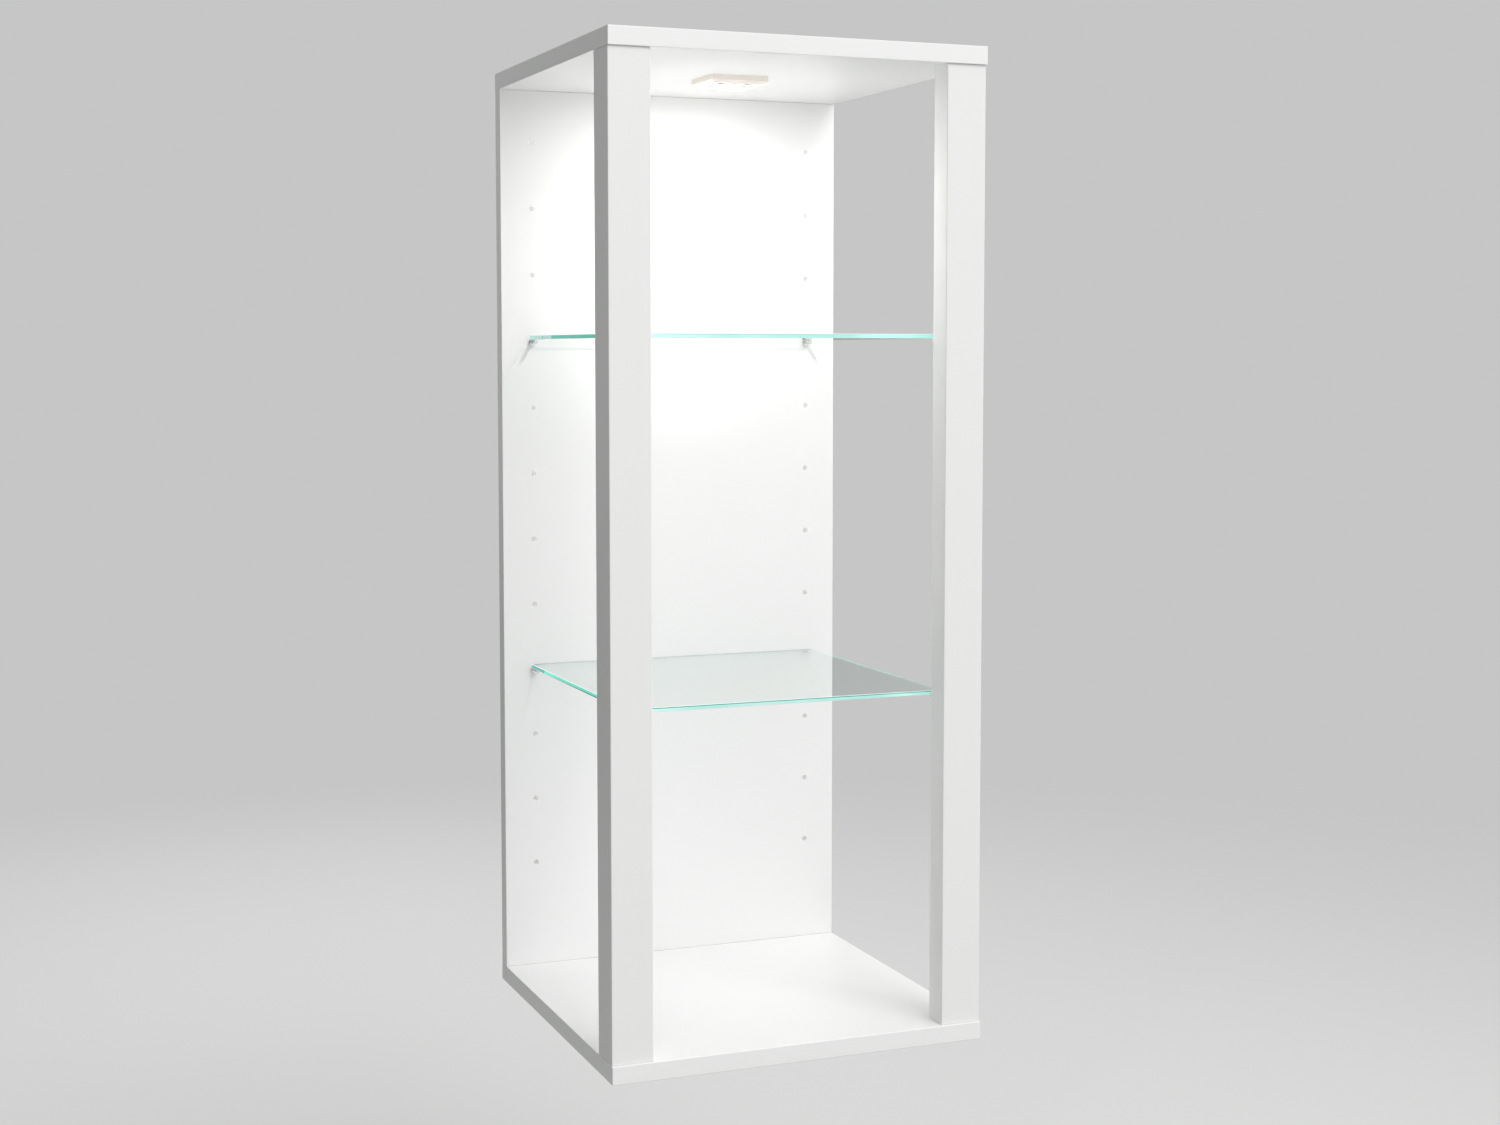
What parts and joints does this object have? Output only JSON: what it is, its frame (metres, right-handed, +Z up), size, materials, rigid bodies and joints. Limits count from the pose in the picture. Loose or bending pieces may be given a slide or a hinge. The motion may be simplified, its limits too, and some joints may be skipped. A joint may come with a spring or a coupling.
{
  "type": "wall mounted showcase",
  "caption": "Tall open wall showcase with a white top, base, back panel and two front posts, adjustable clear glass shelves on pins, and a small square lamp under the top.",
  "frame": {"origin": "centre of the rear face, on the wall", "axes": "+X to the right seen from the front, +Y into the wall, +Z up"},
  "size_m": [0.35, 0.348, 0.8894],
  "materials": {
    "white_board": "white melamine faced chipboard, satin, raw chipboard on cut rear edges",
    "white_edging": "white edging strip, satin",
    "white_foil_post": "white foil wrapped fibreboard, satin",
    "clear_glass": "clear float glass, polished edges with a blue-green tint",
    "chrome_pin": "bright nickel plated",
    "clear_sleeve": "clear soft plastic",
    "lamp_plastic": "warm white moulded plastic, satin",
    "lamp_lens": "clear moulded lens plate, lit",
    "led": "lit light emitting diodes",
    "circuit_board": "white solder mask",
    "zinc_steel": "bright zinc plated",
    "white_plastic": "white moulded plastic",
    "beech": "plain beech"
  },
  "bodies": {
    "cabinet": {"top_board": "white_board", "bottom_board": "white_board", "back_panel": "white_board", "top_front_edging": "white_edging", "top_left_edging": "white_edging", "top_right_edging": "white_edging", "bottom_front_edging": "white_edging", "bottom_left_edging": "white_edging", "bottom_right_edging": "white_edging", "panel_left_edging": "white_edging", "panel_right_edging": "white_edging", "left_post": "white_foil_post", "right_post": "white_foil_post", "upper_pin_rear_left": "chrome_pin", "upper_pin_rear_right": "chrome_pin", "upper_pin_front_left": "chrome_pin", "upper_pin_front_right": "chrome_pin", "upper_sleeve_rear_left": "clear_sleeve", "upper_sleeve_rear_right": "clear_sleeve", "upper_sleeve_front_left": "clear_sleeve", "upper_sleeve_front_right": "clear_sleeve", "lower_pin_rear_left": "chrome_pin", "lower_pin_rear_right": "chrome_pin", "lower_pin_front_left": "chrome_pin", "lower_pin_front_right": "chrome_pin", "lower_sleeve_rear_left": "clear_sleeve", "lower_sleeve_rear_right": "clear_sleeve", "lower_sleeve_front_left": "clear_sleeve", "lower_sleeve_front_right": "clear_sleeve", "lamp_housing": "lamp_plastic", "lamp_lens": "lamp_lens", "lamp_leds": "led", "lamp_circuit_board": "circuit_board", "lamp_base_plate": "zinc_steel", "lamp_screws": "zinc_steel", "top_joint_screws": "zinc_steel", "bottom_joint_screws": "zinc_steel", "left_hanger_plate": "zinc_steel", "right_hanger_plate": "zinc_steel", "hanger_screws": "zinc_steel", "top_screw_caps": "white_plastic", "bottom_screw_caps": "white_plastic", "lead_grommet": "white_plastic", "top_dowels": "beech", "bottom_dowels": "beech"},
    "upper_shelf": {"upper_shelf": "clear_glass"},
    "lower_shelf": {"lower_shelf": "clear_glass"}
  },
  "joints": [
    {"name": "upper_shelf_lift", "type": "slide", "parent": "cabinet", "child": "upper_shelf", "axis": [0, 0, 1], "range_m": [0, 0.192]},
    {"name": "lower_shelf_lift", "type": "slide", "parent": "cabinet", "child": "lower_shelf", "axis": [0, 0, 1], "range_m": [0, 0.256]}
  ]
}
